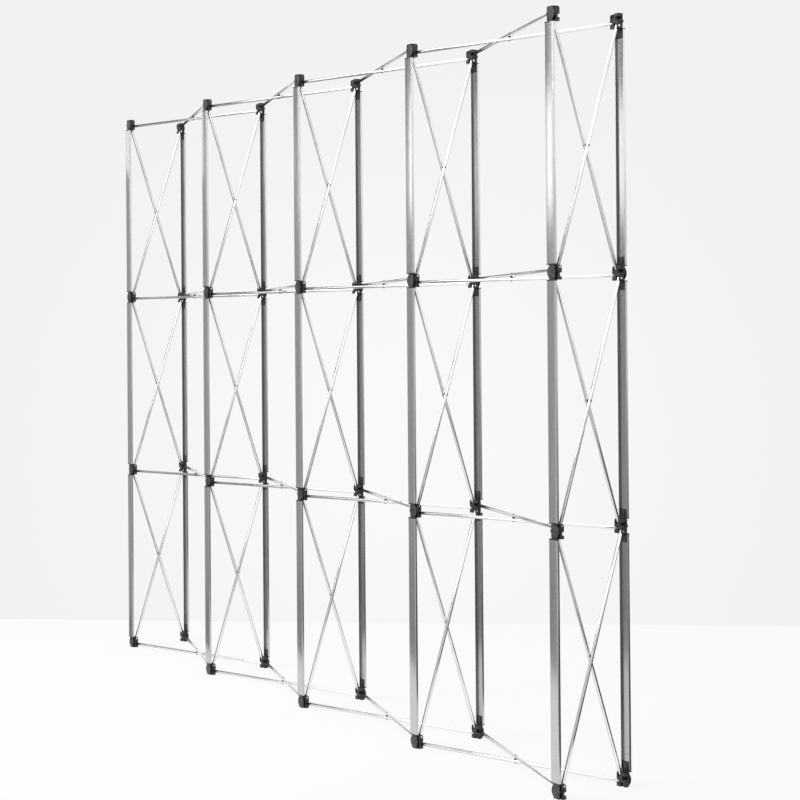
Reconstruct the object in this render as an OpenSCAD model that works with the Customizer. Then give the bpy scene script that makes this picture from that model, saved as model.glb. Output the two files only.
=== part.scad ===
// Straight pop-up display frame. Hubs in columns and levels, front and rear, are joined by
// crossed tubes that turn on pins, and removable bars lock the hubs apart.
// The origin is on the floor under the middle of the frame. +X runs along the wall,
// +Y goes from the front to the rear, +Z is up. Every length is in millimetres.

/* [Frame] */
// Number of bays side by side
bays = 4; // [1:1:4]
// Number of rows of bays, one above the other
rows = 3; // [1:1:3]
// Distance between neighbouring columns of hubs
bay_pitch = 730; // [500:5:900]
// Distance between neighbouring levels of hubs
row_pitch = 730; // [500:5:900]
// Depth over the faces of the front and the rear bars
frame_depth = 264; // [200:1:400]

/* [Hubs] */
// Height of a hub between the bars above and below it
hub_height = 42; // [38:1:56]
// Radius of the round side of a hub's plate
plate_radius = 21; // [18:0.5:24]
// Distance from a hub's middle to the straight side of its plate
plate_flat = 13; // [11:0.5:16]
// Thickness of a hub's plate
plate_thick = 4; // [2.5:0.5:5]
// How far the plate lies behind the faces of the bars
plate_setback = 3; // [1:0.5:4]
// Radius of the small nub on the straight side of the plate
nub_radius = 5; // [4:0.5:6]
// How far the nub stands out of the straight side
nub_proud = 3.5; // [1:0.5:4]
// Width of the blocks that seat the ends of the bars
seat_width = 22; // [12:1:30]
// Height of the blocks that seat the ends of the bars
seat_height = 7; // [5:0.5:8]
// Diameter of the stem between the plate and the jaws
stem_diameter = 20; // [12:1:24]
// Depth from the faces of the bars to the front of the jaws
jaw_front = 10; // [9:0.5:11]
// Depth from the faces of the bars to the hub's pins
pin_depth = 20.5; // [20:0.5:26]
// Radius of the jaws' rounded corners, round the pins
jaw_radius = 6.5; // [5:0.5:7]
// Thickness of the outer cheeks on the upright tubes' pins
outer_cheek = 4.6; // [3:0.2:6]
// Thickness of the inner cheeks
inner_cheek = 5; // [4:0.2:5.6]

/* [Tubes] */
// Outer diameter of the tubes
tube_diameter = 10; // [8:0.5:11]
// Wall of the tubes
tube_wall = 1.2; // [0.8:0.1:2]
// Length of the solid plug in each tube end
tube_plug = 24; // [15:1:60]
// How far a tube runs past its end pins
tube_end = 4.5; // [3.5:0.1:4.8]
// Chamfer round the ends of the tubes
tube_chamfer = 1; // [0.5:0.1:1.5]
// Gap between two crossed tubes, which the spacer fills
tube_gap = 3; // [2:0.5:4]

/* [Pins, rivets and spacers] */
// Diameter of the end pins
pin_diameter = 4; // [3:0.5:5]
// Diameter of the end pins' heads
pin_head_diameter = 6.4; // [6:0.2:8]
// Thickness of the end pins' heads
pin_head_height = 1.3; // [0.8:0.1:2]
// Diameter of the rivets where two tubes cross
rivet_diameter = 4; // [3:0.5:5]
// Diameter of those rivets' heads
rivet_head_diameter = 7.5; // [6:0.5:9]
// Height of those rivets' heads
rivet_head_height = 2.2; // [1:0.1:3]
// Diameter of the spacer between two crossed tubes
spacer_diameter = 9; // [7:0.5:12]

/* [Bars] */
// Width of a bar
bar_width = 38; // [30:0.5:42]
// Depth of a bar
bar_depth = 8; // [7:0.5:9]
// Wall of a bar
bar_wall = 1.5; // [1:0.1:2]
// Chamfer on the long edges of a bar's face
bar_chamfer = 1.5; // [0.5:0.1:1.8]
// Thickness of the plate that closes each end of a bar
end_plate = 3; // [2.5:0.1:5]
// Depth of the tongue on each end plate, which sits on the hub's seat
tongue_depth = 12; // [10:0.5:13]
// Width of that tongue
tongue_width = 20; // [12:1:26]
// Length of the connector inside a bar
connector_length = 24; // [15:1:60]
// Thickness of the connector on the inside of the bar's face
connector_thick = 2.8; // [1.5:0.1:4]
// How much narrower the connector is on each side at its hub end
connector_taper = 4; // [0:0.5:6]

/* [Magnets] */
// Plastic left in front of and behind a magnet, in the hub's seat and in the tongue
magnet_wall = 1.45; // [1:0.05:2]
// Thickness of the magnets
magnet_thick = 2; // [1:0.1:2.2]

/* [Fits] */
// Gap between each side of a tube's end and its cheek
jaw_play = 0.4; // [0.2:0.05:0.6]
// Gap round a tube's end as it turns on its pin
swing_play = 0.4; // [0.2:0.1:0.8]
// Radial gap between a pin or rivet and its hole
pin_play = 0.05; // [0.02:0.01:0.1]
// Gap beyond the blind end of a pin
pin_end_play = 0.3; // [0.1:0.1:0.5]
// Plastic left beyond that gap
pin_skin = 0.7; // [0.5:0.1:1]
// Gap round a pin's head that is sunk into a hub, and its depth below the surface
head_play = 0.2; // [0.1:0.05:0.4]
// Gap between the ends of a bar and the hubs
bar_play = 0.15; // [0.1:0.05:0.3]
// Gap between a connector and the bar's walls
connector_play = 0.15; // [0.05:0.05:0.3]
// Gap round and behind a magnet, and between a spacer and its tubes
seat_play = 0.05; // [0.02:0.01:0.1]

/* [Hidden] */
$fn = 48;
front = -1;
rear = 1;
columns = bays + 1;
levels = rows + 1;

hub_half = hub_height / 2;
slot_half = tube_diameter / 2 + jaw_play;
tube_offset = (tube_diameter + tube_gap) / 2;
inner_side = slot_half - tube_offset + inner_cheek;
outer_side = tube_offset + slot_half + outer_cheek;
pin_reach = hub_half - jaw_radius;
jaw_back = pin_depth + jaw_radius;
swing_wide = norm([tube_diameter / 2, tube_end - tube_chamfer]);
swing_long = norm([tube_diameter / 2 - tube_chamfer, tube_end]);
swing_radius = max(swing_wide, swing_long) + swing_play;
slot_floor = pin_depth - swing_radius;

pin_hole = pin_diameter + 2 * pin_play;
pin_tip = inner_side - pin_skin - pin_end_play;
head_recess = pin_head_height + head_play;
head_bevel = pin_head_height / 2;
rivet_hole = rivet_diameter + 2 * pin_play;
rivet_grip = 2 * tube_offset + tube_diameter;
rivet_rim = rivet_head_height / 3;
rivet_crown = rivet_head_diameter / 4;

// From pin to pin across the frame, and up or along it
span_across = frame_depth - 2 * pin_depth;
span_up = row_pitch - 2 * pin_reach;
span_along = bay_pitch - 2 * pin_reach;

bar_end = hub_half + bar_play;
channel_end = bar_end + end_plate + connector_play;
channel_length = row_pitch - 2 * channel_end;

// A magnet lies midway between the front of the hub's seat and the back of the tongue
magnet_depth = (plate_setback + tongue_depth) / 2;
magnet_diameter = tongue_depth - plate_setback - 2 * (magnet_wall + seat_play);

// Slack that a cutting shape runs past the surface it cuts
cut = 1;

function column_x(c) = (c - 1 - bays / 2) * bay_pitch;
function level_z(k) = hub_half + (k - 1) * row_pitch;

// Places a piece in a hub's own frame: X along the wall, Y inwards from the bars' faces,
// Z up from the hub's middle. A rear hub is a front hub turned half round.
module at_hub(c, k, side) {
    translate([column_x(c), side * frame_depth / 2, level_z(k)])
        rotate([0, 0, side == rear ? 180 : 0])
            children();
}

// Is there a tube in this jaw? At 0 it faces up, at 90 along the hub's +X, and so on.
function jaw_used(c, k, side, turn) =
    turn == 0 ? k < levels :
    turn == 180 ? k > 1 :
    (turn == 90) == (side == front) ? c < columns : c > 1;

// ---- Hubs ----

// Outline of the jaws round a pin: the first axis points away from the hub's middle,
// the second inwards from the bars' faces. Only the corner round the pin is rounded.
module jaw_outline() {
    translate([0, jaw_front])
        square([pin_reach, jaw_back - jaw_front]);
    translate([0, jaw_front])
        square([hub_half, pin_depth - jaw_front]);
    translate([pin_reach, pin_depth])
        circle(r = jaw_radius);
}

// Jaw that faces up. Its pin lies along X.
module upright_jaw() {
    translate([-inner_side, 0, 0])
        rotate([90, 0, 90])
            linear_extrude(inner_side + outer_side)
                rotate(90)
                    mirror([0, 1])
                        jaw_outline();
}

// Jaw that faces along +X. Its pin lies along Z, and it reaches down to the hub's base.
module cross_jaw() {
    translate([0, 0, -hub_half])
        linear_extrude(hub_half + inner_side)
            jaw_outline();
}

// Room for the tube ends in both jaws
module jaw_slots() {
    translate([tube_offset - slot_half, slot_floor, pin_reach - swing_radius])
        cube([2 * slot_half, jaw_back, hub_height]);
    translate([pin_reach - swing_radius, slot_floor, -tube_offset - slot_half])
        cube([hub_height, jaw_back, 2 * slot_half]);
}

module pin_holes() {
    translate([-pin_tip - pin_end_play, pin_depth, pin_reach])
        rotate([0, 90, 0])
            cylinder(d = pin_hole, h = hub_height);
    translate([pin_reach, pin_depth, -hub_half - cut])
        cylinder(d = pin_hole, h = hub_half + cut + pin_tip + pin_end_play);
    translate([pin_reach, pin_depth, -hub_half - cut])
        cylinder(d = pin_head_diameter + 2 * head_play, h = head_recess + cut);
}

// Plate on the outer side of the hub, round on one side and straight on the other
module hub_plate() {
    translate([0, plate_setback + plate_thick, 0])
        rotate([90, 0, 0])
            linear_extrude(plate_thick)
                intersection() {
                    union() {
                        intersection() {
                            circle(r = plate_radius);
                            translate([-2 * plate_radius, -plate_radius])
                                square([2 * plate_radius + plate_flat, 2 * plate_radius]);
                        }
                        translate([plate_flat + nub_proud - nub_radius, 0])
                            circle(r = nub_radius);
                    }
                    square([4 * plate_radius, hub_height], center = true);
                }
}

module hub_core() {
    translate([-outer_side, jaw_front, -hub_half])
        cube([2 * outer_side, slot_floor - jaw_front, hub_height]);
    translate([0, jaw_front + cut, 0])
        rotate([90, 0, 0])
            cylinder(d = stem_diameter, h = jaw_front + cut - plate_setback - plate_thick / 2);
    for (turn = [0, 180])
        rotate([0, turn, 0]) {
            translate([-seat_width / 2, plate_setback, hub_half - seat_height])
                cube([seat_width, jaw_front + cut - plate_setback, seat_height]);
            upright_jaw();
            cross_jaw();
        }
}

module hub() {
    difference() {
        union() {
            hub_plate();
            hub_core();
        }
        for (turn = [0, 180])
            rotate([0, turn, 0]) {
                jaw_slots();
                pin_holes();
                magnet_pocket(hub_half);
            }
    }
}

// Every second level has its hubs turned half round about the depth, so the plates'
// round sides alternate. The jaws look the same either way.
module hubs(side, k) {
    color("#1b1b1d")
        for (c = [1:columns])
            at_hub(c, k, side)
                rotate([0, k % 2 == 0 ? 180 : 0, 0])
                    hub();
}

// ---- Magnets ----

module magnet_pocket(top) {
    translate([0, magnet_depth, top - magnet_thick - 2 * seat_play])
        cylinder(d = magnet_diameter + 2 * seat_play, h = magnet_thick + cut);
}

module magnet(top) {
    translate([0, magnet_depth, top - magnet_thick - seat_play])
        cylinder(d = magnet_diameter, h = magnet_thick);
}

module hub_magnets(side) {
    color("#8d8f92")
        for (c = [1:columns], k = [1:levels]) {
            if (k < levels)
                at_hub(c, k, side)
                    magnet(hub_half);
            if (k > 1)
                at_hub(c, k, side)
                    rotate([0, 180, 0])
                        magnet(hub_half);
        }
}

// ---- Tubes ----

// One tube along Z, from its first pin at 0 to its last pin, with the pins along X
module tube(span) {
    radius = tube_diameter / 2;
    difference() {
        rotate_extrude()
            polygon([
                [0, -tube_end],
                [radius - tube_chamfer, -tube_end],
                [radius, tube_chamfer - tube_end],
                [radius, span + tube_end - tube_chamfer],
                [radius - tube_chamfer, span + tube_end],
                [0, span + tube_end]
            ]);
        translate([0, 0, tube_plug - tube_end])
            cylinder(r = radius - tube_wall, h = span + 2 * (tube_end - tube_plug));
        for (z = [0, span])
            translate([-radius - cut, 0, z])
                rotate([0, 90, 0])
                    cylinder(d = pin_hole, h = tube_diameter + 2 * cut);
        translate([-radius - cut, 0, span / 2])
            rotate([0, 90, 0])
                cylinder(d = rivet_hole, h = tube_diameter + 2 * cut);
    }
}

// Tubes from each hub up to the opposite hub a level higher. The ones that start at the
// front lie on the +X side of their column, and the ones that start at the rear on the other.
module upright_tubes(r, start) {
    lean = atan2(span_across, span_up);
    color("#d4d6d8")
        for (c = [1:columns])
            translate([
                column_x(c) - start * tube_offset,
                start * span_across / 2,
                level_z(r) + pin_reach
            ])
                rotate([start * lean, 0, 0])
                    tube(norm([span_across, span_up]));
}

// Tubes along a level, from each hub to the opposite hub of the next column
module cross_tubes(k, start) {
    turn = atan2(span_across, span_along);
    color("#d4d6d8")
        for (b = [1:bays])
            translate([
                column_x(b) + pin_reach,
                start * span_across / 2,
                level_z(k) + start * tube_offset
            ])
                rotate([0, 0, -start * turn])
                    rotate([0, 90, 0])
                        tube(norm([span_across, span_along]));
}

// ---- Pins, rivets and spacers ----

// Pin with a flat head: the shaft runs from its tip at 0 up along Z
module pin(shaft) {
    cylinder(d = pin_diameter, h = shaft);
    translate([0, 0, shaft])
        rotate_extrude()
            polygon([
                [0, 0],
                [pin_head_diameter / 2, 0],
                [pin_head_diameter / 2, pin_head_height - head_bevel],
                [pin_head_diameter / 2 - head_bevel, pin_head_height],
                [0, pin_head_height]
            ]);
}

module upright_tube_pins() {
    color("#c9cbcd")
        for (c = [1:columns], k = [1:levels], side = [front, rear], turn = [0, 180])
            if (jaw_used(c, k, side, turn))
                at_hub(c, k, side)
                    rotate([0, turn, 0])
                        translate([-pin_tip, pin_depth, pin_reach])
                            rotate([0, 90, 0])
                                pin(outer_side + pin_tip);
}

module cross_tube_pins() {
    color("#c9cbcd")
        for (c = [1:columns], k = [1:levels], side = [front, rear], turn = [90, 270])
            if (jaw_used(c, k, side, turn))
                at_hub(c, k, side)
                    rotate([0, turn - 90, 0])
                        translate([pin_reach, pin_depth, pin_tip])
                            rotate([180, 0, 0])
                                pin(hub_half - head_recess + pin_tip);
}

// Rivet through two crossed tubes, centred between them, along Z
module rivet() {
    radius = rivet_head_diameter / 2;
    rotate_extrude()
        polygon([
            [0, -rivet_grip / 2 - rivet_head_height],
            [rivet_crown, -rivet_grip / 2 - rivet_head_height],
            [radius, -rivet_grip / 2 - rivet_rim],
            [radius, -rivet_grip / 2],
            [rivet_diameter / 2, -rivet_grip / 2],
            [rivet_diameter / 2, rivet_grip / 2],
            [radius, rivet_grip / 2],
            [radius, rivet_grip / 2 + rivet_rim],
            [rivet_crown, rivet_grip / 2 + rivet_head_height],
            [0, rivet_grip / 2 + rivet_head_height]
        ]);
}

module spacer() {
    difference() {
        cylinder(d = spacer_diameter, h = tube_gap - 2 * seat_play, center = true);
        cylinder(d = rivet_hole, h = tube_gap, center = true);
    }
}

// Middle of each pair of upright tubes, with the rivet's axis along Z
module at_upright_crossings() {
    for (c = [1:columns], r = [1:rows])
        translate([column_x(c), 0, level_z(r) + row_pitch / 2])
            rotate([0, 90, 0])
                children();
}

module at_cross_crossings() {
    for (b = [1:bays], k = [1:levels])
        translate([column_x(b) + bay_pitch / 2, 0, level_z(k)])
            children();
}

module upright_centre_rivets() {
    color("#9a9c9f")
        at_upright_crossings()
            rivet();
}

module cross_centre_rivets() {
    color("#9a9c9f")
        at_cross_crossings()
            rivet();
}

module upright_spacers() {
    color("#2c2c2e")
        at_upright_crossings()
            spacer();
}

module cross_spacers() {
    color("#2c2c2e")
        at_cross_crossings()
            spacer();
}

// ---- Bars ----

// Channel with its flat face outwards and its open side towards the middle of the frame
module bar_channel() {
    half = bar_width / 2;
    color("#b4b6b9")
        translate([0, 0, channel_end])
            linear_extrude(channel_length)
                polygon([
                    [-half + bar_chamfer, 0],
                    [half - bar_chamfer, 0],
                    [half, bar_chamfer],
                    [half, bar_depth],
                    [half - bar_wall, bar_depth],
                    [half - bar_wall, bar_wall],
                    [bar_wall - half, bar_wall],
                    [bar_wall - half, bar_depth],
                    [-half, bar_depth],
                    [-half, bar_chamfer]
                ]);
}

// Moulded connector that closes a bar's lower end. Its tongue sits on the hub's seat and
// holds a magnet.
module bar_connector() {
    inner = bar_width / 2 - bar_wall - connector_play;
    narrow = inner - connector_taper;
    floor_depth = bar_wall + connector_play;
    difference() {
        union() {
            translate([-bar_width / 2, 0, 0])
                cube([bar_width, bar_depth, end_plate]);
            translate([-tongue_width / 2, 0, 0])
                cube([tongue_width, tongue_depth, end_plate]);
            translate([0, floor_depth + connector_thick, 0])
                rotate([90, 0, 0])
                    linear_extrude(connector_thick)
                        polygon([
                            [-narrow, 0],
                            [narrow, 0],
                            [inner, end_plate + connector_length],
                            [-inner, end_plate + connector_length]
                        ]);
        }
        rotate([0, 180, 0])
            magnet_pocket(0);
    }
}

// The two ends of a bar, at the hub below and, turned over, at the hub above
module at_bar_ends() {
    translate([0, 0, bar_end])
        children();
    translate([0, 0, row_pitch - bar_end])
        mirror([0, 0, 1])
            children();
}

module bar(c, r, side) {
    at_hub(c, r, side) {
        bar_channel();
        color("#222224")
            at_bar_ends()
                bar_connector();
        color("#8d8f92")
            at_bar_ends()
                rotate([0, 180, 0])
                    magnet(0);
    }
}

// ---- Nodes ----

for (k = [1:levels]) {
    hubs(front, k);
    hubs(rear, k);
    cross_tubes(k, front);
    cross_tubes(k, rear);
}
for (r = [1:rows]) {
    upright_tubes(r, front);
    upright_tubes(r, rear);
}
upright_tube_pins();
cross_tube_pins();
upright_centre_rivets();
cross_centre_rivets();
upright_spacers();
cross_spacers();
hub_magnets(front);  // front_hub_magnets
hub_magnets(rear);  // rear_hub_magnets
for (c = [1:columns], r = [1:rows]) {
    bar(c, r, front);
    bar(c, r, rear);
}
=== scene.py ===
import math

import bmesh
import bpy
from mathutils import Matrix, Vector


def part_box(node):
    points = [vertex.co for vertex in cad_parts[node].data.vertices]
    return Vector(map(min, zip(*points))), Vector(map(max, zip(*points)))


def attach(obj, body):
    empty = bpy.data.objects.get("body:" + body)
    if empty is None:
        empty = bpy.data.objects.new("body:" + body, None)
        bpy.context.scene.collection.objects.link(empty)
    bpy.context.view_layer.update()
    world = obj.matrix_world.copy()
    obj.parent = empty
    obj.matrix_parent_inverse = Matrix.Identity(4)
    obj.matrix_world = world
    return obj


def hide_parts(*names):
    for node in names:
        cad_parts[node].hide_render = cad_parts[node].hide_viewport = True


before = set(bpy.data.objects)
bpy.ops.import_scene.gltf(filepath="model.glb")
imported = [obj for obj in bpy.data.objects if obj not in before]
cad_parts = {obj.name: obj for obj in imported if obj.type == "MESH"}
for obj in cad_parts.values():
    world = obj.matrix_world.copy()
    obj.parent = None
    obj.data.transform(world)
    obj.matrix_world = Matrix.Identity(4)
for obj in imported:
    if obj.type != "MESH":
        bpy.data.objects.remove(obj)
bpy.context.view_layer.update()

# Lengths below are in millimetres. A hub's own frame has X along the wall, Y inwards from
# the bars' faces and Z up from the hub's middle; a rear hub is a front hub turned half round.
mm = 0.001
halfTurn = math.pi
quarterTurn = math.pi / 2
near = 0.1  # how close to a plane an edge or a face still counts as lying on it
hair = 0.01  # kept between faces that would otherwise coincide
aligned = 0.9  # how much of a direction has to lie along an axis
weld = 0.001  # points closer than this become one
sharpFrom = 35  # degrees between two faces from which their edge stays sharp
sides = ("front", "rear")
columns = sum(name.startswith("front_bar_") and name.endswith("_r1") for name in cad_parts)
levels = sum(name.startswith("front_hubs_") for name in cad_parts)
rows = levels - 1
bays = columns - 1


def middle(node, axis):
    low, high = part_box(node)
    return (low[axis] + high[axis]) / 2 / mm


columnX = [middle(f"front_bar_c{c + 1}_r1", 0) for c in range(columns)]
levelZ = [middle(f"front_hubs_level_{k + 1}", 2) for k in range(levels)]
faceY = {
    "front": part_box("front_bar_c1_r1")[0][1] / mm,
    "rear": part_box("rear_bar_c1_r1")[1][1] / mm,
}
inwards = {"front": 1, "rear": -1}
other = {"front": "rear", "rear": "front"}


# Tools shared by the pieces

def moveNew(bm, verts, matrix):
    bmesh.ops.transform(bm, matrix=matrix, verts=verts)
    return verts


def addBlock(bm, low, high):
    verts = bmesh.ops.create_cube(bm, size=1)["verts"]
    size = [b - a for a, b in zip(low, high)]
    centre = [(a + b) / 2 for a, b in zip(low, high)]
    return moveNew(bm, verts, Matrix.Translation(centre) @ Matrix.Diagonal((*size, 1)))


# A round rod, which lies along Z until its place turns it
def addRod(bm, diameter, length, place, segments):
    bmesh.ops.create_cone(bm, cap_ends=True, segments=segments, radius1=diameter / 2,
                          radius2=diameter / 2, depth=length, matrix=place)


# Pushes a flat outline, given by a few corners, along a direction. Returns all its vertices
def addPrism(bm, corners, push):
    face = bm.faces.new([bm.verts.new(corner) for corner in corners])
    grown = bmesh.ops.extrude_face_region(bm, geom=[face])["geom"]
    far = [item for item in grown if isinstance(item, bmesh.types.BMVert)]
    bmesh.ops.translate(bm, vec=push, verts=far)
    verts = list(face.verts) + far
    faces = {f for v in verts for f in v.link_faces}
    bmesh.ops.recalc_face_normals(bm, faces=list(faces))
    return verts


def roundEdges(bm, edges, width, steps):
    return bmesh.ops.bevel(bm, geom=edges, offset=width, segments=steps, profile=0.5,
                           affect="EDGES", material=-1, clamp_overlap=True)


# Edges at the given vertices that pass a test on their middle and direction
def edgesWhere(verts, test):
    chosen = []
    for edge in {e for v in verts for e in v.link_edges}:
        a, b = edge.verts[0].co, edge.verts[1].co
        if test((a + b) / 2, (b - a).normalized()):
            chosen.append(edge)
    return chosen


# A turned piece: its half profile as (radius, height) steps, spun round Z
def addTurned(bm, profile, steps):
    verts = [bm.verts.new((radius, 0, height)) for radius, height in profile]
    edges = [bm.edges.new(pair) for pair in zip(verts, verts[1:])]
    if profile[0][0] > 0 and profile[-1][0] > 0:
        edges.append(bm.edges.new((verts[-1], verts[0])))  # a ring closes on itself
    before = set(bm.verts) - set(verts)
    bmesh.ops.spin(bm, geom=verts + edges, cent=(0, 0, 0), axis=(0, 0, 1),
                   angle=2 * halfTurn, steps=steps, use_merge=True)
    made = [v for v in bm.verts if v not in before]
    bmesh.ops.remove_doubles(bm, verts=made, dist=weld)
    made = [v for v in bm.verts if v not in before]
    bmesh.ops.recalc_face_normals(bm, faces=list({f for v in made for f in v.link_faces}))
    return made


def asMesh(bm, name):
    mesh = bpy.data.meshes.new(name)
    bm.to_mesh(mesh)
    bm.free()
    return mesh


# Copies a finished pattern into a piece, at one place
def stamp(bm, pattern, place):
    first = len(bm.verts)
    bm.from_mesh(pattern)
    bm.verts.ensure_lookup_table()
    moveNew(bm, bm.verts[first:], place)


# Makes the piece, in metres, and tells the frame what it rides on and stands for
def finishPiece(name, bm, body, nodes, material):
    mesh = asMesh(bm, name)
    mesh.transform(Matrix.Scale(mm, 4))
    mesh.polygons.foreach_set("use_smooth", [True] * len(mesh.polygons))
    mesh.set_sharp_from_angle(angle=math.radians(sharpFrom))
    mesh.materials.append(material)
    piece = bpy.data.objects.new(name, mesh)
    bpy.context.scene.collection.objects.link(piece)
    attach(piece, body)
    if nodes:
        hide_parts(*nodes)


# Where a hub sits, and how it is turned
def hubPlace(c, k, side):
    turn = Matrix.Rotation(halfTurn if side == "rear" else 0, 4, "Z")
    return Matrix.Translation((columnX[c], faceY[side], levelZ[k])) @ turn


# Finishes

patternLow, patternHigh = 0.3, 0.7  # most of a noise's values lie between these


def startMaterial(name):
    material = bpy.data.materials.new(name)
    material.use_nodes = True
    tree = material.node_tree
    return material, tree, tree.nodes["Principled BSDF"]


# Object coordinates, squeezed or stretched along each axis
def patternSpace(tree, stretch=(1, 1, 1)):
    place = tree.nodes.new("ShaderNodeTexCoord")
    mapping = tree.nodes.new("ShaderNodeMapping")
    mapping.inputs["Scale"].default_value = stretch
    tree.links.new(place.outputs["Object"], mapping.inputs["Vector"])
    return mapping.outputs["Vector"]


def addNoise(tree, space, scale, detail, roughness=0.5):
    noise = tree.nodes.new("ShaderNodeTexNoise")
    noise.inputs["Scale"].default_value = scale
    noise.inputs["Detail"].default_value = detail
    noise.inputs["Roughness"].default_value = roughness
    tree.links.new(space, noise.inputs["Vector"])
    return noise.outputs["Fac"]


# Spreads a pattern's middle part over a range of values, or between two colours
def spread(tree, pattern, low, high):
    ramp = tree.nodes.new("ShaderNodeMapRange")
    ramp.inputs["From Min"].default_value = patternLow
    ramp.inputs["From Max"].default_value = patternHigh
    ramp.inputs["To Min"].default_value = low
    ramp.inputs["To Max"].default_value = high
    tree.links.new(pattern, ramp.inputs["Value"])
    return ramp.outputs["Result"]


def tint(tree, pattern, dark, light, lowest=None, highest=None):
    ramp = tree.nodes.new("ShaderNodeValToRGB")
    ramp.color_ramp.elements[0].position = patternLow
    ramp.color_ramp.elements[1].position = patternHigh
    ramp.color_ramp.elements[0].color = (*dark, 1)
    ramp.color_ramp.elements[1].color = (*light, 1)
    for position, colour in ((0, lowest), (1, highest)):
        if colour:  # where the pattern has been faded out, or raised: painted shade in hub gaps, channel insides and tube outlines, painted light on hub plates
            ramp.color_ramp.elements.new(position).color = (*colour, 1)
    tree.links.new(pattern, ramp.inputs["Fac"])
    return ramp.outputs["Color"]


def calc(tree, operation, a, b=None):
    node = tree.nodes.new("ShaderNodeMath")
    node.operation = operation
    for socket, value in zip(node.inputs, (a, b)):
        if isinstance(value, bpy.types.NodeSocket):
            tree.links.new(value, socket)
        elif value is not None:
            socket.default_value = value
    return node.outputs["Value"]


def addBump(tree, shader, pattern, strength, depth):
    bump = tree.nodes.new("ShaderNodeBump")
    bump.inputs["Strength"].default_value = strength
    bump.inputs["Distance"].default_value = depth
    tree.links.new(pattern, bump.inputs["Height"])
    previous = shader.inputs["Normal"].links
    if previous:  # an earlier pattern shows through this one
        tree.links.new(previous[0].from_socket, bump.inputs["Normal"])
    tree.links.new(bump.outputs["Normal"], shader.inputs["Normal"])


paintedHubLightAndShade = "paintedHubLightAndShade"  # under 0 for painted shade in a hub's narrow gap, over 0 for painted light on its outer plate
plasticFinish = {
    # painted shade in a hub's narrow gap
    "gap": (0.003, 0.003, 0.003),
    "dark": (0.021, 0.021, 0.022),
    "light": (0.04, 0.04, 0.041),
    # painted light on a hub's outer plate
    "plate": (0.085, 0.085, 0.087),
    "cloudScale": 60,  # per metre
    "grainScale": 1400,
    "grainStrength": 0.5,
    "grainDepth": 0.00012,
    "softEdge": 0.0005,  # metres, the rounding that an edge seems to have
    "softSamples": 6,
    "roughness": (0.38, 0.5),
}


def mouldedPlastic(name, finish):
    material, tree, shader = startMaterial(name)
    space = patternSpace(tree)
    cloud = addNoise(tree, space, finish["cloudScale"], detail=4)
    grain = addNoise(tree, space, finish["grainScale"], detail=2)
    # painted shade in a hub's gap and painted light on its outer plate, from the faces' marks
    lightAndShadeMark = tree.nodes.new("ShaderNodeAttribute")
    lightAndShadeMark.attribute_name = paintedHubLightAndShade
    shade = calc(tree, "MULTIPLY", cloud, calc(tree, "ADD", 1, lightAndShadeMark.outputs["Fac"]))
    tree.links.new(tint(tree, shade, finish["dark"], finish["light"], finish["gap"],
                        finish["plate"]), shader.inputs["Base Color"])
    tree.links.new(spread(tree, cloud, *finish["roughness"]), shader.inputs["Roughness"])
    soft = tree.nodes.new("ShaderNodeBevel")
    soft.samples = finish["softSamples"]
    soft.inputs["Radius"].default_value = finish["softEdge"]
    tree.links.new(soft.outputs["Normal"], shader.inputs["Normal"])
    addBump(tree, shader, grain, finish["grainStrength"], finish["grainDepth"])
    return material


paintedChannelShade = "paintedChannelShade"  # over 0 inside a channel, where shade is painted, and the darker the higher
barFinish = {
    # painted shade: the colour that the channel's inner faces are darkened towards
    "channelShadeColour": (0.2, 0.2, 0.205),
    "paintedInnerShade": 0.55,  # painted shade: what is left of the pattern on the channel's inner face
    "dark": (0.52, 0.525, 0.535),
    "light": (0.68, 0.685, 0.695),
    "lineScale": 1600,  # across the bar
    "lineStretch": (1, 1, 0.006),  # the drawn lines run along the bar
    "lineStrength": 0.3,
    "lineDepth": 0.000008,
    "waveScale": 9,
    "waveStretch": (1, 1, 0.35),
    "waveStrength": 0.35,
    "waveDepth": 0.0001,
    "roughness": (0.17, 0.26),
    "metallic": 0.9,  # the satin surface also scatters a little
    "brushed": 0.7,  # blur across the lines, less along them
}


# Drawn channel, satin, with fine lines along its length, a faint waviness and painted shade on
# its inner faces
def channelMetal(name, finish):
    material, tree, shader = startMaterial(name)
    lines = addNoise(tree, patternSpace(tree, finish["lineStretch"]), finish["lineScale"],
                     detail=5, roughness=0.6)
    waves = addNoise(tree, patternSpace(tree, finish["waveStretch"]), finish["waveScale"],
                     detail=2)
    shader.inputs["Metallic"].default_value = finish["metallic"]
    shader.inputs["Anisotropic"].default_value = finish["brushed"]
    across = tree.nodes.new("ShaderNodeTangent")
    across.direction_type, across.axis = "RADIAL", "Z"
    tree.links.new(across.outputs["Tangent"], shader.inputs["Tangent"])
    inner = tree.nodes.new("ShaderNodeAttribute")
    inner.attribute_name = paintedChannelShade
    paintedDarkening = calc(tree, "MULTIPLY", inner.outputs["Fac"], 1 - finish["paintedInnerShade"])
    shade = calc(tree, "MULTIPLY", lines, calc(tree, "SUBTRACT", 1, paintedDarkening))
    tree.links.new(tint(tree, shade, finish["dark"], finish["light"], finish["channelShadeColour"]),
                   shader.inputs["Base Color"])
    tree.links.new(spread(tree, lines, *finish["roughness"]), shader.inputs["Roughness"])
    addBump(tree, shader, waves, finish["waveStrength"], finish["waveDepth"])
    addBump(tree, shader, lines, finish["lineStrength"], finish["lineDepth"])
    return material


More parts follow.
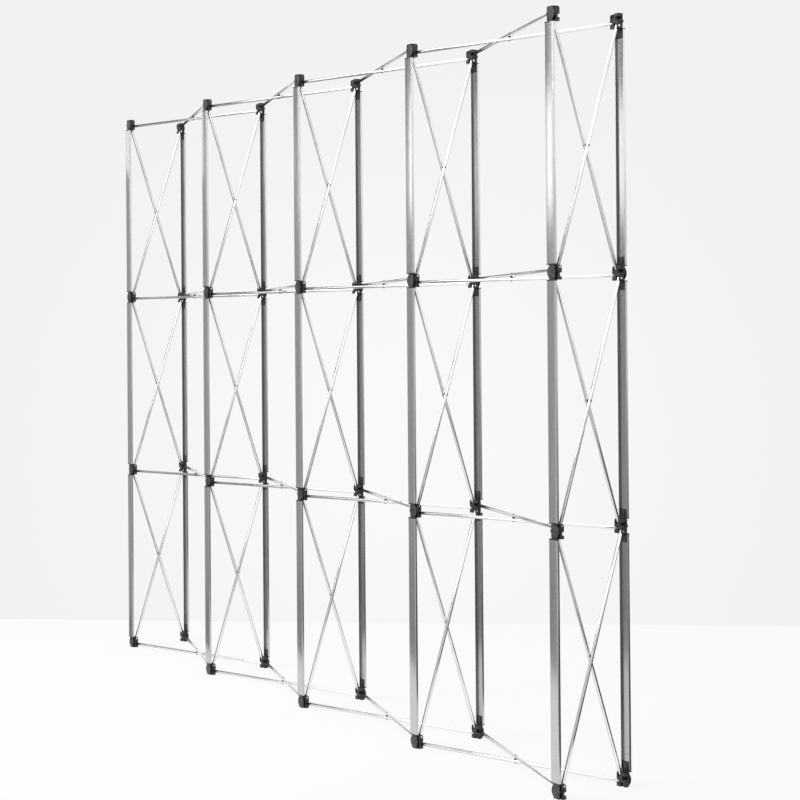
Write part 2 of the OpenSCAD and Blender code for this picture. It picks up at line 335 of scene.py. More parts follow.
tubeAxis = "tubeAxis"  # the direction that a tube lies in
tubeFinish = {
    "edge": (0.1, 0.1, 0.105),  # the painted dark reflection along the outline
    "edgeFrom": 0.85,  # 1 is the tube's middle line and 0 its outline
    "edgeFull": 0.3,
    "dark": (0.87, 0.875, 0.88),
    "light": (0.95, 0.955, 0.96),
    "mottleScale": 45,
    "scratchScale": 1900,
    "scratchDepth": 0.000006,
    "roughness": (0.1, 0.18),
}

pinFinish = {
    "dark": (0.66, 0.66, 0.67),
    "light": (0.84, 0.84, 0.85),
    "mottleScale": 300,
    "scratchScale": 2500,
    "scratchDepth": 0.00002,
    "roughness": (0.16, 0.3),
}

rivetFinish = {
    "dark": (0.3, 0.3, 0.31),
    "light": (0.48, 0.48, 0.5),
    "mottleScale": 350,
    "scratchScale": 2500,
    "scratchDepth": 0.00003,
    "roughness": (0.28, 0.45),
}

magnetFinish = {
    "dark": (0.5, 0.5, 0.51),
    "light": (0.62, 0.62, 0.63),
    "mottleScale": 400,
    "scratchScale": 3000,
    "scratchDepth": 0.00002,
    "roughness": (0.22, 0.36),
}


# Paints a dark reflection along a tube's outline by fading a pattern out towards it, however
# short the tube appears
def paintDarkOutline(tree, pattern, finish):
    axis = tree.nodes.new("ShaderNodeAttribute")
    axis.attribute_name = tubeAxis
    across, along = (tree.nodes.new("ShaderNodeLayerWeight") for _ in range(2))
    tree.links.new(axis.outputs["Vector"], along.inputs["Normal"])
    towardsEye = calc(tree, "SUBTRACT", 1, across.outputs["Facing"])
    endOn = calc(tree, "SUBTRACT", 1, along.outputs["Facing"])
    sideOn = calc(tree, "SQRT", calc(tree, "SUBTRACT", 1, calc(tree, "MULTIPLY", endOn, endOn)))
    fade = tree.nodes.new("ShaderNodeMapRange")
    fade.interpolation_type = "SMOOTHSTEP"
    fade.inputs["From Min"].default_value = finish["edgeFull"]
    fade.inputs["From Max"].default_value = finish["edgeFrom"]
    tree.links.new(calc(tree, "DIVIDE", towardsEye, sideOn), fade.inputs["Value"])
    return calc(tree, "MULTIPLY", pattern, fade.outputs["Result"])


def brightMetal(name, finish):
    material, tree, shader = startMaterial(name)
    space = patternSpace(tree)
    mottle = addNoise(tree, space, finish["mottleScale"], detail=4)
    scratches = addNoise(tree, space, finish["scratchScale"], detail=3, roughness=0.7)
    shader.inputs["Metallic"].default_value = 1
    # painted dark reflection along a tube's outline, where the finish gives one
    shade = paintDarkOutline(tree, mottle, finish) if "edge" in finish else mottle
    tree.links.new(tint(tree, shade, finish["dark"], finish["light"], finish.get("edge")),
                   shader.inputs["Base Color"])
    tree.links.new(spread(tree, mottle, *finish["roughness"]), shader.inputs["Roughness"])
    addBump(tree, shader, scratches, strength=0.3, depth=finish["scratchDepth"])
    return material


blackPlastic = mouldedPlastic("blackPlastic", plasticFinish)
barMetal = channelMetal("barMetal", barFinish)
tubeMetal = brightMetal("tubeMetal", tubeFinish)
pinSteel = brightMetal("pinSteel", pinFinish)
rivetSteel = brightMetal("rivetSteel", rivetFinish)
magnetMetal = brightMetal("magnetMetal", magnetFinish)
print("finishes made")


# Hubs: a plate outside, a stem and two seats behind it, and four jaws round the core

hubSizes = {
    "height": 42,
    "plateRadius": 21,
    "plateFlat": 13,
    "plateSetback": 3,
    "plateThick": 4,
    "plateRim": 1.3,  # rounding of the plate's outer rim
    "plateSegments": 72,
    "rimSteps": 3,
    "nubDiameter": 10,
    "nubProud": 3.5,
    "nubThinner": 0.4,  # than the plate
    "nubSegments": 28,
    "seatWidth": 22,
    "seatHeight": 7,
    "stemDiameter": 20,
    "stemSegments": 40,
    "sunk": 1,  # how far the stem and the seats run into the core
    "jawFront": 10,
    "jawFloor": 14,
    "jawBack": 27,
    "jawRadius": 6.5,
    "jawSteps": 8,
    "jawStart": 0.2,  # just past the hub's middle
    "jawInner": 3.9,
    "jawOuter": 16.5,
    "sideFloorStart": 10,
    "slotNear": 1.1,
    "slotFar": 11.9,
    "slotReach": 8,
    "pinHole": 4.1,
    "headHole": 6.8,
    "headDeep": 1.5,
    "holeStart": 3.2,  # past the hub's middle, on the other side
    "holeLength": 60,  # well out of the hub
    "holeSegments": 24,
    "sliver": 0.06,
    "flatWithin": 1,  # degrees
    # painted shade in the gap behind the plate, and painted light on the plate
    "gapPaintedShade": -0.9,
    "platePaintedLight": 0.55,
}
pinReach = hubSizes["height"] / 2 - hubSizes["jawRadius"]
pinDepth = hubSizes["jawBack"] - hubSizes["jawRadius"]
tubeOffset = (hubSizes["slotNear"] + hubSizes["slotFar"]) / 2


def addPlate(bm, s):
    bmesh.ops.create_circle(bm, cap_ends=True, segments=s["plateSegments"],
                            radius=s["plateRadius"])
    bmesh.ops.bisect_plane(bm, geom=bm.verts[:] + bm.edges[:] + bm.faces[:],
                           plane_co=(s["plateFlat"], 0, 0), plane_no=(1, 0, 0),
                           clear_outer=True)
    grown = bmesh.ops.extrude_face_region(bm, geom=bm.faces[:])["geom"]
    far = [item for item in grown if isinstance(item, bmesh.types.BMVert)]
    bmesh.ops.translate(bm, vec=(0, 0, s["plateThick"]), verts=far)
    nubAt = s["plateFlat"] + s["nubProud"] - s["nubDiameter"] / 2
    addRod(bm, s["nubDiameter"], s["plateThick"] - s["nubThinner"],
           Matrix.Translation((nubAt, 0, s["plateThick"] / 2)), s["nubSegments"])
    bmesh.ops.recalc_face_normals(bm, faces=bm.faces[:])
    rim = edgesWhere(bm.verts[:], lambda at, way: at.z > s["plateThick"] - near)
    roundEdges(bm, rim, s["plateRim"], s["rimSteps"])
    # from lying flat to standing, with the rounded rim outwards
    stand = Matrix.Translation((0, s["plateSetback"] + s["plateThick"], 0))
    moveNew(bm, bm.verts[:], stand @ Matrix.Rotation(quarterTurn, 4, "X"))


# One jaw that faces up and one that faces along +X, each with two cheeks, and a seat
def addJaws(bm, s, turn):
    half, front, back, start = s["height"] / 2, s["jawFront"], s["jawBack"], s["jawStart"]
    upright = [
        (-s["jawInner"], front, start), (s["jawOuter"], front, start),
        (s["jawOuter"], front, half), (s["slotFar"], front, half),
        (s["slotFar"], front, s["slotReach"]), (s["slotNear"], front, s["slotReach"]),
        (s["slotNear"], front, half), (-s["jawInner"], front, half),
    ]
    crosswise = [
        (start, front, -half), (half, front, -half), (half, front, -s["slotFar"]),
        (s["slotReach"], front, -s["slotFar"]), (s["slotReach"], front, -s["slotNear"]),
        (half, front, -s["slotNear"]), (half, front, s["jawInner"]),
        (start, front, s["jawInner"]),
    ]
    made = []
    for outline, across, outwards in ((upright, 0, 2), (crosswise, 2, 0)):
        verts = addPrism(bm, outline, (0, back - front, 0))
        tips = edgesWhere(verts, lambda at, way: abs(way[across]) > aligned
                          and at[outwards] > half - near and at.y > back - near)
        rounded = roundEdges(bm, tips, s["jawRadius"], s["jawSteps"])["verts"]
        made += [v for v in verts if v.is_valid] + rounded
    made += addBlock(bm, (s["sideFloorStart"], front, -half),
                     (half, s["jawFloor"], s["jawInner"]))
    made += addBlock(bm, (-s["seatWidth"] / 2, s["plateSetback"], half - s["seatHeight"]),
                     (s["seatWidth"] / 2, front + s["sunk"], half))
    moveNew(bm, list(set(made)), turn)


# Holes for the two pins, and a wider one that takes the head of the crosswise jaw's pin
def addHubHoles(bm, s, turn):
    bottom, length = -s["height"] / 2, s["holeLength"]
    alongX = Matrix.Translation((length / 2 - s["holeStart"], pinDepth, pinReach)) \
        @ Matrix.Rotation(quarterTurn, 4, "Y")
    alongZ = Matrix.Translation((pinReach, pinDepth, s["holeStart"] - length / 2))
    head = Matrix.Translation((pinReach, pinDepth, s["headDeep"] + bottom - length / 2))
    for width, place in ((s["pinHole"], alongX), (s["pinHole"], alongZ), (s["headHole"], head)):
        addRod(bm, width, length, turn @ place, s["holeSegments"])


# Marks the faces round the stem, behind the plate, for painted shade, and those of the plate's
# outer side for painted light
def paintHubLightAndShade(pattern, s):
    bm = bmesh.new()
    bm.from_mesh(pattern)
    lightAndShadeMark = bm.faces.layers.float.new(paintedHubLightAndShade)
    behind = s["plateSetback"] + s["plateThick"]
    for face in bm.faces:
        at = face.calc_center_median()
        if abs(at.z) < s["height"] / 2 - s["seatHeight"] + near:
            if behind - 2 * near < at.y < s["jawFront"] + 2 * near:
                face[lightAndShadeMark] = s["gapPaintedShade"]
            elif at.y < behind:
                face[lightAndShadeMark] = s["platePaintedLight"]
    bm.to_mesh(pattern)
    bm.free()
    return pattern


# Tidies what the cuts leave behind: slivers, and edges inside flat faces
def cleanHub(pattern, s):
    bm = bmesh.new()
    bm.from_mesh(pattern)
    bmesh.ops.remove_doubles(bm, verts=bm.verts[:], dist=s["sliver"])
    bmesh.ops.dissolve_degenerate(bm, edges=bm.edges[:], dist=s["sliver"])
    bmesh.ops.dissolve_limit(bm, angle_limit=math.radians(s["flatWithin"]),
                             verts=bm.verts[:], edges=bm.edges[:])
    bm.to_mesh(pattern)
    bm.free()


# Joins overlapping solids into one and cuts the holes
def makeHubPattern(s):
    half = s["height"] / 2
    plate, rest, holes = bmesh.new(), bmesh.new(), bmesh.new()
    addPlate(plate, s)
    addBlock(rest, (-s["jawOuter"], s["jawFront"], -half), (s["jawOuter"], s["jawFloor"], half))
    stemMiddle = (s["jawFront"] + s["plateSetback"]) / 2 + s["sunk"]
    stemPlace = Matrix.Translation((0, stemMiddle, 0)) @ Matrix.Rotation(quarterTurn, 4, "X")
    addRod(rest, s["stemDiameter"], s["jawFront"] - s["plateSetback"], stemPlace,
           s["stemSegments"])
    for turn in (Matrix.Identity(4), Matrix.Diagonal((-1, 1, -1, 1))):  # a half turn round Y
        addJaws(rest, s, turn)
        addHubHoles(holes, s, turn)
    bmesh.ops.recalc_face_normals(rest, faces=rest.faces[:])
    work = [bpy.data.objects.new(name, asMesh(bm, name))
            for name, bm in (("hubPlate", plate), ("hubRest", rest), ("hubHoles", holes))]
    for item in work:
        bpy.context.scene.collection.objects.link(item)
    joined, body, cutter = work
    for operation, operand in (("UNION", body), ("DIFFERENCE", cutter)):
        step = joined.modifiers.new(operation, "BOOLEAN")
        step.operation, step.object = operation, operand
        step.solver, step.use_self = "EXACT", True
    graph = bpy.context.evaluated_depsgraph_get()
    pattern = bpy.data.meshes.new_from_object(joined.evaluated_get(graph))
    for item in work:
        bpy.data.objects.remove(item)
    cleanHub(pattern, s)
    return paintHubLightAndShade(pattern, s)


hubPattern = makeHubPattern(hubSizes)
print("hub pattern:", len(hubPattern.vertices), "vertices,", len(hubPattern.polygons), "faces")
for side in sides:
    for k in range(levels):
        bm = bmesh.new()
        for c in range(columns):
            # the plates' round sides alternate from level to level
            turn = Matrix.Rotation(halfTurn if k % 2 else 0, 4, "Y")
            stamp(bm, hubPattern, hubPlace(c, k, side) @ turn)
        finishPiece(f"{side}Hubs{k + 1}", bm, "frame", [f"{side}_hubs_level_{k + 1}"],
                    blackPlastic)
print("hubs made")


# Magnets in the hubs' seats and in the bars' tongues

magnetSizes = {
    "diameter": 6,
    "thick": 2,
    "depth": 7.5,  # from the bars' faces
    "rim": 0.3,
    "gap": 0.05,
    "steps": 18,
}


def makeMagnetPattern(s):
    bm = bmesh.new()
    radius = s["diameter"] / 2
    addTurned(bm, [(0, 0), (radius, 0), (radius, s["thick"] - s["rim"]),
                   (radius - s["rim"], s["thick"]), (0, s["thick"])], s["steps"])
    moveNew(bm, bm.verts[:], Matrix.Translation((0, s["depth"], -s["thick"] - s["gap"])))
    return asMesh(bm, "magnet")  # its flat top lies a little under z = 0


magnetPattern = makeMagnetPattern(magnetSizes)
for side in sides:
    bm = bmesh.new()
    seat = Matrix.Translation((0, 0, hubSizes["height"] / 2))
    for c in range(columns):
        for k in range(levels):
            if k < rows:
                stamp(bm, magnetPattern, hubPlace(c, k, side) @ seat)
            if k > 0:
                stamp(bm, magnetPattern,
                      hubPlace(c, k, side) @ Matrix.Rotation(halfTurn, 4, "Y") @ seat)
    finishPiece(f"{side}HubMagnets", bm, "frame", [f"{side}_hub_magnets"],
                magnetMetal)
print("hub magnets made")


# Tubes with turned ends: a thin wall round a plug

tubeSizes = {
    "diameter": 10,
    "pastPin": 4.5,
    "endRounding": 1,
    "roundingMiddle": 0.3,  # how far in the rounding's middle lies, as a share of its radius
    "wall": 1.2,
    "plugSunk": 0.4,
    "steps": 24,
}


def addTube(bm, s, start, end):
    way = (end - start).normalized()
    length = (end - start).length + 2 * s["pastPin"]
    radius, rounding = s["diameter"] / 2, s["endRounding"]
    inset = rounding * s["roundingMiddle"]
    bore = radius - s["wall"]
    half = [(0, s["plugSunk"]), (bore, s["plugSunk"]), (bore, 0), (radius - rounding, 0),
            (radius - inset, inset), (radius, rounding)]
    profile = half + [(r, length - h) for r, h in reversed(half)]
    verts = addTurned(bm, profile, s["steps"])
    place = Matrix.Translation(start - way * s["pastPin"]) \
        @ way.to_track_quat("Z", "X").to_matrix().to_4x4()
    moveNew(bm, verts, place)
    axis = bm.verts.layers.float_vector.get(tubeAxis)
    for vert in verts:
        vert[axis] = way


def pinPoint(c, k, side, x, z):
    return Vector((columnX[c] + x, faceY[side] + inwards[side] * pinDepth, levelZ[k] + z))


def startTubes():
    bm = bmesh.new()
    bm.verts.layers.float_vector.new(tubeAxis)
    return bm


for letter, start in (("a", "front"), ("b", "rear")):
    offset = inwards[start] * tubeOffset
    for r in range(rows):
        bm = startTubes()
        for c in range(columns):
            addTube(bm, tubeSizes, pinPoint(c, r, start, offset, pinReach),
                    pinPoint(c, r + 1, other[start], offset, -pinReach))
        finishPiece(f"uprightTubes{letter.upper()}{r + 1}", bm, "frame",
                    [f"upright_tubes_{letter}_row_{r + 1}"], tubeMetal)
    for k in range(levels):
        bm = startTubes()
        for b in range(bays):
            addTube(bm, tubeSizes, pinPoint(b, k, start, pinReach, -offset),
                    pinPoint(b + 1, k, other[start], -pinReach, -offset))
        finishPiece(f"crossTubes{letter.upper()}{k + 1}", bm, "frame",
                    [f"cross_tubes_{letter}_level_{k + 1}"], tubeMetal)
print("tubes made")


# End pins, centre rivets and spacers

pinSizes = {
    "diameter": 4,
    "headDiameter": 6.4,
    "headHeight": 1.3,
    "headShoulder": 0.5,  # share of the head's height that is straight
    "headTop": 0.8,  # share of the head's width that is left on top
    "tip": 2.9,
    "steps": 14,
}

rivetSizes = {
    "diameter": 4,
    "headDiameter": 7.5,
    "headHeight": 2.2,
    "dome": ((0.94, 0.45), (0.55, 0.9)),  # shares of the head's radius and height
    "steps": 16,
}

spacerSizes = {"diameter": 9, "thick": 2.9, "hole": 4.1, "rim": 0.3, "steps": 20}


def makePinPattern(s, shaft):
    bm = bmesh.new()
    radius, head, height = s["diameter"] / 2, s["headDiameter"] / 2, s["headHeight"]
    addTurned(bm, [(0, 0), (radius, 0), (radius, shaft), (head, shaft),
                   (head, shaft + height * s["headShoulder"]),
                   (head * s["headTop"], shaft + height), (0, shaft + height)], s["steps"])
    return asMesh(bm, "pin")


def makeRivetPattern(s, grip):
    bm = bmesh.new()
    radius, head, height = s["diameter"] / 2, s["headDiameter"] / 2, s["headHeight"]
    dome = [(radius, grip / 2), (head, grip / 2)]
    dome += [(head * wide, grip / 2 + height * high) for wide, high in s["dome"]]
    dome.append((0, grip / 2 + height))
    addTurned(bm, [(r, -h) for r, h in reversed(dome)] + dome, s["steps"])
    return asMesh(bm, "rivet")


def makeSpacerPattern(s):
    bm = bmesh.new()
    outer, inner, half = s["diameter"] / 2, s["hole"] / 2, s["thick"] / 2
    addTurned(bm, [(inner, -half), (outer - s["rim"], -half), (outer, s["rim"] - half),
                   (outer, half - s["rim"]), (outer - s["rim"], half), (inner, half)],
              s["steps"])
    return asMesh(bm, "spacer")


# Stamps a pin into each jaw that holds a tube. isUsed says which of a hub's two jaws do
def addPins(bm, pattern, place, isUsed):
    for side in sides:
        for c in range(columns):
            for k in range(levels):
                for turn, used in zip((0, halfTurn), isUsed(side, c, k)):
                    if used:
                        stamp(bm, pattern,
                              hubPlace(c, k, side) @ Matrix.Rotation(turn, 4, "Y") @ place)


def addUprightPins(bm):
    pattern = makePinPattern(pinSizes, hubSizes["jawOuter"] + pinSizes["tip"])
    place = Matrix.Translation((-pinSizes["tip"], pinDepth, pinReach)) \
        @ Matrix.Rotation(quarterTurn, 4, "Y")
    addPins(bm, pattern, place, lambda side, c, k: (k < rows, k > 0))


def addCrossPins(bm):
    pattern = makePinPattern(pinSizes, hubSizes["height"] / 2 - hubSizes["headDeep"]
                             + pinSizes["tip"])
    place = Matrix.Translation((pinReach, pinDepth, pinSizes["tip"])) \
        @ Matrix.Rotation(halfTurn, 4, "X")
    # a rear hub is turned half round, so its two jaws swap columns
    addPins(bm, pattern, place, lambda side, c, k: (c < bays, c > 0)[::inwards[side]])


def uprightCrossings():
    return [Matrix.Translation((columnX[c], 0, (levelZ[r] + levelZ[r + 1]) / 2))
            @ Matrix.Rotation(quarterTurn, 4, "Y")
            for c in range(columns) for r in range(rows)]


def levelCrossings():
    return [Matrix.Translation(((columnX[b] + columnX[b + 1]) / 2, 0, levelZ[k]))
            for b in range(bays) for k in range(levels)]


for name, fill, node in (("uprightPins", addUprightPins, "upright_tube_pins"),
                         ("crossPins", addCrossPins, "cross_tube_pins")):
    bm = bmesh.new()
    fill(bm)
    finishPiece(name, bm, "frame", [node], pinSteel)

rivetPattern = makeRivetPattern(rivetSizes, 2 * tubeOffset + tubeSizes["diameter"])
spacerPattern = makeSpacerPattern(spacerSizes)
for where, places in (("upright", uprightCrossings()), ("cross", levelCrossings())):
    rivets, spacers = bmesh.new(), bmesh.new()
    for place in places:
        stamp(rivets, rivetPattern, place)
        stamp(spacers, spacerPattern, place)
    finishPiece(f"{where}Rivets", rivets, "frame", [f"{where}_centre_rivets"],
                rivetSteel)
    finishPiece(f"{where}Spacers", spacers, "frame", [f"{where}_spacers"],
                blackPlastic)
print("pins, rivets and spacers made")


# Bars: a channel with a moulded connector and a magnet in each end

barSizes = {
    "width": 38,
    "depth": 8,
    "wall": 1.5,
    "corner": 2.2,  # rounding of the face's long edges
    "cornerSteps": 5,
    "endGap": 0.15,
    "endPlate": 3,
    "fitGap": 0.15,
    "tipRounding": 0.3,
    "tipSteps": 2,
    "paintedSideShade": 1.9,  # painted shade: the channel's inner sides are darker yet than its inner face
}

connectorSizes = {
    "length": 24,
    "thick": 2.8,
    "taper": 4,
    "bladeStart": 0.5,
    "tongueDepth": 12,
    "tongueWidth": 20,
    "tongueSetback": 0.6,
    "ribWidth": 6,
    "ribProud": 0.9,
    "ribSunk": 0.5,
    "ribStart": 1,
    "ribShorter": 2.5,  # than the blade it lies on
    "softEdge": 0.45,
    "softSteps": 2,
}
barPitch = levelZ[1] - levelZ[0]
barStart = hubSizes["height"] / 2 + barSizes["endGap"]


def makeChannelPattern(s):
    bm = bmesh.new()
    half, wall, depth = s["width"] / 2, s["wall"], s["depth"]
    low = barStart + s["endPlate"] + s["fitGap"]
    high = barPitch - low
    outline = [(-half, 0, low), (half, 0, low), (half, depth, low), (half - wall, depth, low),
               (half - wall, wall, low), (wall - half, wall, low), (wall - half, depth, low),
               (-half, depth, low)]
    verts = addPrism(bm, outline, (0, 0, high - low))
    tips = edgesWhere(verts, lambda at, way: abs(way.z) > aligned and at.y > depth - near)
    corners = edgesWhere(verts, lambda at, way: abs(way.z) > aligned and at.y < near)
    roundEdges(bm, corners, s["corner"], s["cornerSteps"])
    roundEdges(bm, [e for e in tips if e.is_valid], s["tipRounding"], s["tipSteps"])
    # Marks the channel's inner faces, and more its inner sides, for painted shade
    inner = bm.faces.layers.float.new(paintedChannelShade)
    for face in bm.faces:
        at = face.calc_center_median()
        within = abs(at.x) < half - wall + hair and at.y > wall - hair
        isEnd, isSide = abs(face.normal.z) > 0.5, abs(face.normal.x) > 0.5
        if within and not isEnd:
            face[inner] = s["paintedSideShade"] if isSide else 1
    return asMesh(bm, "channel")


# An end plate and the tongue in it, and a tapered blade inside the channel, with a rib
def makeConnectorPattern(s, bar):
    bm = bmesh.new()
    half, endPlate = bar["width"] / 2, bar["endPlate"]
    tongue, rib = s["tongueWidth"] / 2, s["ribWidth"] / 2
    wide = half - bar["wall"] - bar["fitGap"]
    narrow = wide - s["taper"]
    bed = bar["wall"] + bar["fitGap"]
    start, top = s["bladeStart"], endPlate + s["length"]
    made = addBlock(bm, (-half, 0, 0), (half, bar["depth"], endPlate))
    made += addBlock(bm, (-tongue, s["tongueSetback"], hair),
                     (tongue, s["tongueDepth"], endPlate - hair))
    made += addPrism(bm, [(-narrow, bed, start), (narrow, bed, start), (wide, bed, top),
                          (-wide, bed, top)], (0, s["thick"], 0))
    made += addBlock(bm, (-rib, bed + s["ribSunk"], s["ribStart"]),
                     (rib, bed + s["thick"] + s["ribProud"], top - s["ribShorter"]))
    roundEdges(bm, edgesWhere(made, lambda at, way: True), s["softEdge"], s["softSteps"])
    return asMesh(bm, "connector")


channelPattern = makeChannelPattern(barSizes)
connectorPattern = makeConnectorPattern(connectorSizes, barSizes)
lowerEnd = Matrix.Translation((0, 0, barStart))
upperEnd = Matrix.Translation((0, 0, barPitch - barStart)) @ Matrix.Rotation(halfTurn, 4, "Y")
for side in sides:
    for c in range(columns):
        for r in range(rows):
            node = f"{side}_bar_c{c + 1}_r{r + 1}"
            label = f"{side}Bar{c + 1}{r + 1}"
            channel, connectors, magnets = bmesh.new(), bmesh.new(), bmesh.new()
            stamp(channel, channelPattern, hubPlace(c, r, side))
            for end in (lowerEnd, upperEnd):
                stamp(connectors, connectorPattern, hubPlace(c, r, side) @ end)
                stamp(magnets, magnetPattern,
                      hubPlace(c, r, side) @ end @ Matrix.Rotation(halfTurn, 4, "Y"))
            finishPiece(label, channel, node, [node], barMetal)
            finishPiece(label + "Connectors", connectors, node, [], blackPlastic)
            finishPiece(label + "Magnets", magnets, node, [], magnetMetal)
print("bars made")


# Studio, in metres

studio = {
    "wallShade": 0.885,
    "wallGlow": 0.065,  # the backdrop is a little lighter low behind the object
    "glowTowards": (-0.84, 0.535, -0.06),
    "glowReach": 0.26,
    "floorShade": 0.99,
    "floorAlbedo": 0.16,
    "floorBounce": 0.8,  # its shade for the light that it throws back
    "floorRoughness": 0.7,
    "floorReach": 30,
    "floorCells": 8,
    "floorTurn": -6,  # degrees by which the floor's far edge is off square
    "ambient": 0.4,
}

camera = {
    "place": (5.3265, -3.1151, 1.2994),
    "heading": -57.346,  # degrees from +Y, as seen from above
    "climb": 0.465,  # degrees, as the roll is
    "roll": -0.449,
    "focal": 77.753,  # millimetres, as the sensor's width is
    "sensor": 36,
    "shift": -0.0953,
    "clip": (0.05, 200),
}

# The room that the metal mirrors, laid out along the camera's heading: ahead is the distance
# from the camera, aside is to its right. The camera doesn't see these cards.
paperLeft, paperRight, paperEnd = -1.25, 1.4, 7.89
roomSide, roomFront, roomHeight = 4.6, -2.2, 4
besidePaper = paperLeft - 0.4  # where the cards to the left of the paper end
overFloor = 0.002
overCards = 0.003  # clear of the cards that lie over the floor
cards = {
    # name: (shade, (ahead, aside, height) at two opposite corners)
    "leftLow": (0.36, (5.3, -roomSide, 0), (paperEnd, -roomSide, 2.4)),
    "leftHigh": (0.1, (5.3, -roomSide, 2.4), (paperEnd, -roomSide, roomHeight)),
    "backLeftLow": (0.4, (paperEnd, -roomSide, 0), (paperEnd, besidePaper, 2.4)),
    "backLeftHigh": (0.18, (paperEnd, -roomSide, 2.4), (paperEnd, besidePaper, roomHeight)),
    "overPaper": (0.3, (paperEnd, besidePaper, 1.9), (paperEnd, paperRight, roomHeight)),
    "leftFloor": (0.27, (5, -roomSide, overFloor), (paperEnd, paperLeft, overFloor)),
    "rightFoot": (0.12, (roomFront, roomSide, 0), (5.2, roomSide, 0.45)),
    "rightLow": (0.35, (roomFront, roomSide, 0.45), (5.2, roomSide, 0.95)),
    "rightFloor": (0.05, (2.8, 0.75, overFloor), (5.6, roomSide, overFloor)),
    "rightFarFloor": (0.05, (5.6, 0.75, overFloor), (6.4, 2.8, overFloor)),
    "rightHigh": (1.6, (1.8, roomSide, 2.1), (5, roomSide, 3.4)),
    "midFloor": (0.4, (2.1, -1, overCards), (4.3, 1, overCards)),
    "nearFloor": (0.5, (roomFront, -1.6, overCards), (1.9, 1.6, overCards)),
    "behindCamera": (0.5, (roomFront, -3.4, 0), (roomFront, 3.4, 3.6)),
    "farPatch": (1.6, (paperEnd - 0.05, -2.4, 2.1), (paperEnd - 0.05, -1.75, 2.6)),
}
cardThickness = 0.001  # only in its matrix, because a card is flat

lamps = {
    "overhead": {"place": (-0.3, -1.4, 4.6), "target": (0, 0, 0.8), "size": (5, 4), "power": 110},
    "leftFront": {"place": (-1.2, -5.2, 3.4), "target": (0, 0, 1), "size": (2.2, 1.6),
                  "power": 60},
    "highBack": {"place": (-2.5, 4.4, 4), "target": (0, 0, 1), "size": (3, 2.4), "power": 40},
    "overCamera": {"place": (5.6, -3.6, 4.3), "target": (0, 0, 1.1), "size": (4, 2), "power": 36},
    "patchNear": {"place": (-2.49, -3.18, 2.35), "target": (1.46, 0, 1.8), "size": (0.9, 0.7),
                  "power": 6},
}


# The camera's place and the way it looks
def aimedMatrix(view):
    heading, climb, roll = (math.radians(view[name]) for name in ("heading", "climb", "roll"))
    ahead = Vector((math.cos(climb) * math.sin(heading), math.cos(climb) * math.cos(heading),
                    math.sin(climb)))
    right = Vector((math.cos(heading), -math.sin(heading), 0))
    up = right.cross(ahead)
    acrossRolled = right * math.cos(roll) + up * math.sin(roll)
    upRolled = up * math.cos(roll) - right * math.sin(roll)
    matrix = Matrix((acrossRolled, upRolled, -ahead)).transposed().to_4x4()
    matrix.translation = Vector(view["place"])
    return matrix


# From (ahead, aside, height) to the world's axes
def roomMatrix(view):
    heading = math.radians(view["heading"])
    ahead = Vector((math.sin(heading), math.cos(heading), 0))
    right = Vector((math.cos(heading), -math.sin(heading), 0))
    matrix = Matrix((ahead, right, Vector((0, 0, 1)))).transposed().to_4x4()
    matrix.translation = Vector((*view["place"][:2], 0))
    return matrix


def addCamera(view):
    lens = bpy.data.cameras.new("camera")
    lens.lens, lens.sensor_width = view["focal"], view["sensor"]
    lens.sensor_fit = "HORIZONTAL"
    lens.shift_y = view["shift"]
    lens.clip_start, lens.clip_end = view["clip"]
    holder = bpy.data.objects.new("camera", lens)
    holder.matrix_world = aimedMatrix(view)
    bpy.context.scene.collection.objects.link(holder)
    bpy.context.scene.camera = holder


def isSeenOrMirrored(tree):
    path = tree.nodes.new("ShaderNodeLightPath")
    return calc(tree, "MAXIMUM", path.outputs["Is Camera Ray"], path.outputs["Is Glossy Ray"])


# The wall's shade, with a soft glow low behind the object
def addWorld(s):
    world = bpy.data.worlds.new("studioLight")
    bpy.context.scene.world = world
    world.use_nodes = True
    tree = world.node_tree
    output = tree.nodes["World Output"]
    light = tree.nodes["Background"]
    light.inputs["Color"].default_value = (1, 1, 1, 1)
    light.inputs["Strength"].default_value = s["ambient"]
    direction = tree.nodes.new("ShaderNodeTexCoord")
    glow = tree.nodes.new("ShaderNodeVectorMath")
    glow.operation = "DISTANCE"
    glow.inputs[1].default_value = s["glowTowards"]
    fade = tree.nodes.new("ShaderNodeMapRange")
    fade.interpolation_type = "SMOOTHSTEP"
    fade.inputs["From Min"].default_value = 0
    fade.inputs["From Max"].default_value = s["glowReach"]
    fade.inputs["To Min"].default_value = s["wallShade"] + s["wallGlow"]
    fade.inputs["To Max"].default_value = s["wallShade"]
    wall = tree.nodes.new("ShaderNodeBackground")
    wall.inputs["Color"].default_value = (1, 1, 1, 1)
    tree.links.new(direction.outputs["Generated"], glow.inputs[0])
    tree.links.new(glow.outputs["Value"], fade.inputs["Value"])
    tree.links.new(fade.outputs["Result"], wall.inputs["Strength"])
    mix = tree.nodes.new("ShaderNodeMixShader")
    tree.links.new(isSeenOrMirrored(tree), mix.inputs["Fac"])
    tree.links.new(light.outputs["Background"], mix.inputs[1])
    tree.links.new(wall.outputs["Background"], mix.inputs[2])
    tree.links.new(mix.outputs["Shader"], output.inputs["Surface"])


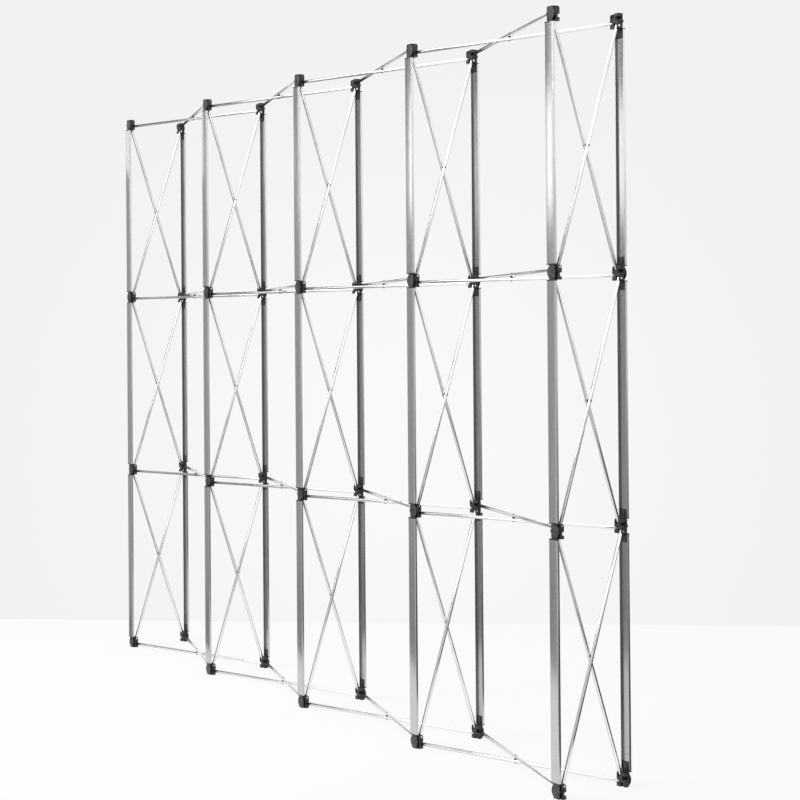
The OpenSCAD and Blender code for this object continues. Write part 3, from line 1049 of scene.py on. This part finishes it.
# White to the eye and in the metal, and it takes faint shadows
def floorMaterial(s):
    material, tree, shader = startMaterial("floorSheet")
    glow = tree.nodes.new("ShaderNodeEmission")
    glow.inputs["Strength"].default_value = s["floorShade"] - s["floorAlbedo"]
    matt = tree.nodes.new("ShaderNodeBsdfDiffuse")
    matt.inputs["Color"].default_value = (*[s["floorAlbedo"]] * 3, 1)
    both = tree.nodes.new("ShaderNodeAddShader")
    tree.links.new(glow.outputs["Emission"], both.inputs[0])
    tree.links.new(matt.outputs["BSDF"], both.inputs[1])
    shader.inputs["Base Color"].default_value = (*[s["floorBounce"]] * 3, 1)
    shader.inputs["Roughness"].default_value = s["floorRoughness"]
    seen = tree.nodes.new("ShaderNodeMixShader")
    tree.links.new(isSeenOrMirrored(tree), seen.inputs["Fac"])
    tree.links.new(shader.outputs["BSDF"], seen.inputs[1])
    tree.links.new(both.outputs["Shader"], seen.inputs[2])
    tree.links.new(seen.outputs["Shader"], tree.nodes["Material Output"].inputs["Surface"])
    return material


def addFloor(s, view):
    bm = bmesh.new()
    bmesh.ops.create_grid(bm, x_segments=s["floorCells"], y_segments=s["floorCells"],
                          size=s["floorReach"])
    room = roomMatrix(view)
    turn = Matrix.Rotation(math.radians(s["floorTurn"]), 3, "Z")
    bmesh.ops.bisect_plane(bm, geom=bm.verts[:] + bm.edges[:] + bm.faces[:],
                           plane_co=room @ Vector((paperEnd, 0, 0)),
                           plane_no=turn @ room.to_3x3().col[0], clear_outer=True)
    mesh = asMesh(bm, "floor")
    mesh.materials.append(floorMaterial(s))
    floor = bpy.data.objects.new("floor", mesh)
    bpy.context.scene.collection.objects.link(floor)


# A glowing rectangle between two opposite corners, seen only as a reflection
def addCard(name, shade, corner, opposite, view):
    bm = bmesh.new()
    low = Vector([min(pair) for pair in zip(corner, opposite)])
    high = Vector([max(pair) for pair in zip(corner, opposite)])
    flat = min(range(3), key=lambda axis: high[axis] - low[axis])
    bmesh.ops.create_grid(bm, x_segments=1, y_segments=1, size=0.5)
    if flat != 2:
        axis = "Y" if flat == 0 else "X"
        moveNew(bm, bm.verts[:], Matrix.Rotation(quarterTurn, 4, axis))
    size = [max(edge, cardThickness) for edge in high - low]
    moveNew(bm, bm.verts[:], roomMatrix(view) @ Matrix.Translation((low + high) / 2)
            @ Matrix.Diagonal((*size, 1)))
    mesh = asMesh(bm, name)
    material, tree, _ = startMaterial(name)
    glow = tree.nodes.new("ShaderNodeEmission")
    glow.inputs["Strength"].default_value = shade
    tree.links.new(glow.outputs["Emission"], tree.nodes["Material Output"].inputs["Surface"])
    mesh.materials.append(material)
    card = bpy.data.objects.new(name, mesh)
    card.visible_camera = card.visible_diffuse = card.visible_shadow = False
    card.visible_transmission = False
    bpy.context.scene.collection.objects.link(card)


def addLamp(name, s):
    light = bpy.data.lights.new(name, "AREA")
    light.shape = "RECTANGLE"
    light.size, light.size_y = s["size"]
    light.energy = s["power"]
    lamp = bpy.data.objects.new(name, light)
    lamp.location = s["place"]
    lamp.rotation_mode = "QUATERNION"
    aim = Vector(s["target"]) - Vector(s["place"])
    lamp.rotation_quaternion = aim.to_track_quat("-Z", "Y")
    bpy.context.scene.collection.objects.link(lamp)


bpy.context.scene.view_settings.view_transform = "Standard"
addCamera(camera)
addWorld(studio)
addFloor(studio, camera)
for name, (shade, corner, opposite) in cards.items():
    addCard(name, shade, corner, opposite, camera)
for name, sizes in lamps.items():
    addLamp(name, sizes)
print("studio made")
